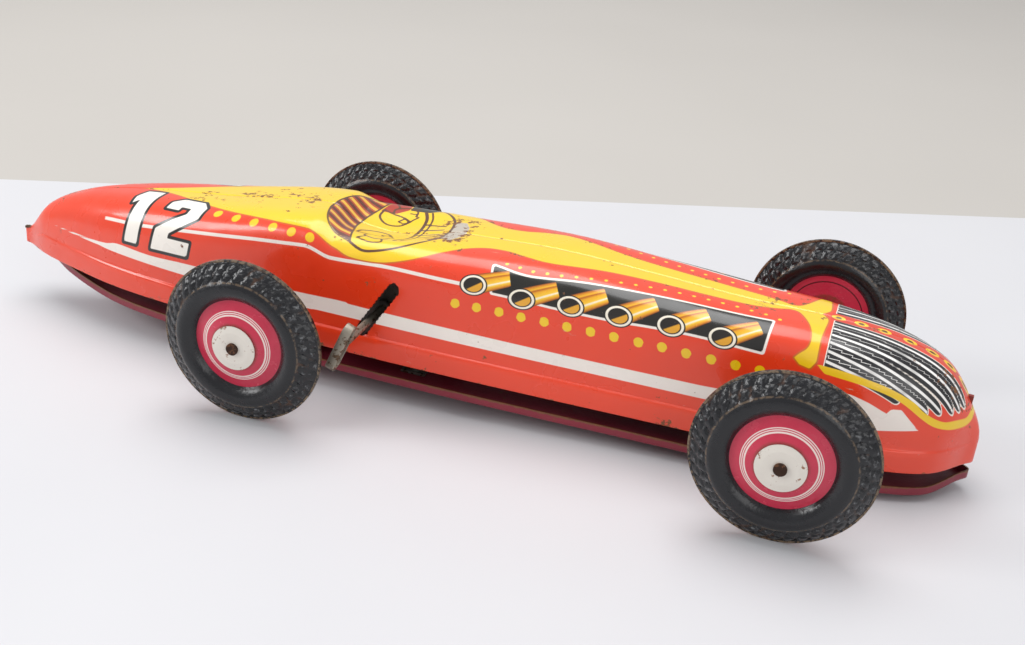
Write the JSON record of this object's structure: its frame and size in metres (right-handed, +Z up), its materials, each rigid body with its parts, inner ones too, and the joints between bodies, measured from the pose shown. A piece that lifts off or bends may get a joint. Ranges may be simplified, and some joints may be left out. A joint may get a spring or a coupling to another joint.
{
  "type": "clockwork toy race car",
  "caption": "Long streamlined tin racing car with pressed half shells, a base pan, two-piece tin wheels and a spring motor wound by a side key.",
  "frame": {"origin": "on the ground, under the middle of the bounding box", "axes": "+X along the car towards its nose, +Y to the car's left, +Z up; the winding key is on the car's right"},
  "size_m": [0.4061, 0.1424, 0.067],
  "materials": {
    "body_tinplate": "gloss",
    "pan_tinplate": "satin",
    "wheel_tinplate": "gloss",
    "cap_tinplate": "gloss",
    "rusty_steel": "matte",
    "tinned_steel": "satin",
    "steel": "satin",
    "spring_steel": "satin",
    "key_steel": "satin",
    "brass": "satin"
  },
  "bodies": {
    "body": {"body_shell_right": "body_tinplate", "body_shell_left": "body_tinplate", "nose_seam_tab": "rusty_steel", "base_pan": "pan_tinplate", "front_axle_bracket": "tinned_steel", "rear_body_bracket": "tinned_steel", "body_rivets": "steel", "pan_rivets": "steel", "motor_plate_right": "tinned_steel", "motor_plate_left": "tinned_steel", "motor_pillars": "steel", "mainspring": "spring_steel"},
    "front_axle_set": {"front_axle": "rusty_steel", "front_right_wheel_outer": "wheel_tinplate", "front_right_wheel_inner": "wheel_tinplate", "front_left_wheel_outer": "wheel_tinplate", "front_left_wheel_inner": "wheel_tinplate", "front_right_hub_cap": "cap_tinplate", "front_left_hub_cap": "cap_tinplate", "front_axle_collars": "steel"},
    "rear_axle_set": {"rear_axle": "rusty_steel", "rear_right_wheel_outer": "wheel_tinplate", "rear_right_wheel_inner": "wheel_tinplate", "rear_left_wheel_outer": "wheel_tinplate", "rear_left_wheel_inner": "wheel_tinplate", "rear_right_hub_cap": "cap_tinplate", "rear_left_hub_cap": "cap_tinplate", "rear_axle_collars": "steel", "rear_axle_pinion": "brass"},
    "middle_set": {"middle_arbor": "brass", "middle_gear": "brass"},
    "great_gear_set": {"great_gear": "brass", "click_stud": "steel", "click_spring": "spring_steel"},
    "arbor_set": {"winding_arbor": "steel", "arbor_collar": "steel", "winding_key": "key_steel", "ratchet_wheel": "steel"},
    "click_set": {"click": "steel"}
  },
  "joints": [
    {"name": "front_axle_spin", "type": "hinge", "parent": "body", "child": "front_axle_set", "pos_m": [0.14, 0, 0.032], "axis": [0, 1, 0], "continuous": true},
    {"name": "rear_axle_spin", "type": "hinge", "parent": "body", "child": "rear_axle_set", "pos_m": [-0.06, 0, 0.032], "axis": [0, 1, 0], "continuous": true},
    {"name": "middle_spin", "type": "hinge", "parent": "body", "child": "middle_set", "pos_m": [-0.0456, 0, 0.04469], "axis": [0, 1, 0], "continuous": true},
    {"name": "great_gear_spin", "type": "hinge", "parent": "body", "child": "great_gear_set", "pos_m": [-0.02506, 0, 0.03227], "axis": [0, 1, 0], "continuous": true},
    {"name": "winding", "type": "hinge", "parent": "great_gear_set", "child": "arbor_set", "pos_m": [-0.02506, 0, 0.03227], "axis": [0, -1, 0], "continuous": true},
    {"name": "click_lift", "type": "hinge", "parent": "great_gear_set", "child": "click_set", "pos_m": [-0.01968, 0, 0.03913], "axis": [0, -1, 0], "range_deg": [0, 9], "stiffness_Nm_per_rad": 0.0002, "springref_deg": -5.73}
  ],
  "couplings": [
    {"joint": "middle_spin", "follows": "rear_axle_spin", "ratio": -0.33333},
    {"joint": "great_gear_spin", "follows": "rear_axle_spin", "ratio": 0.083333}
  ]
}
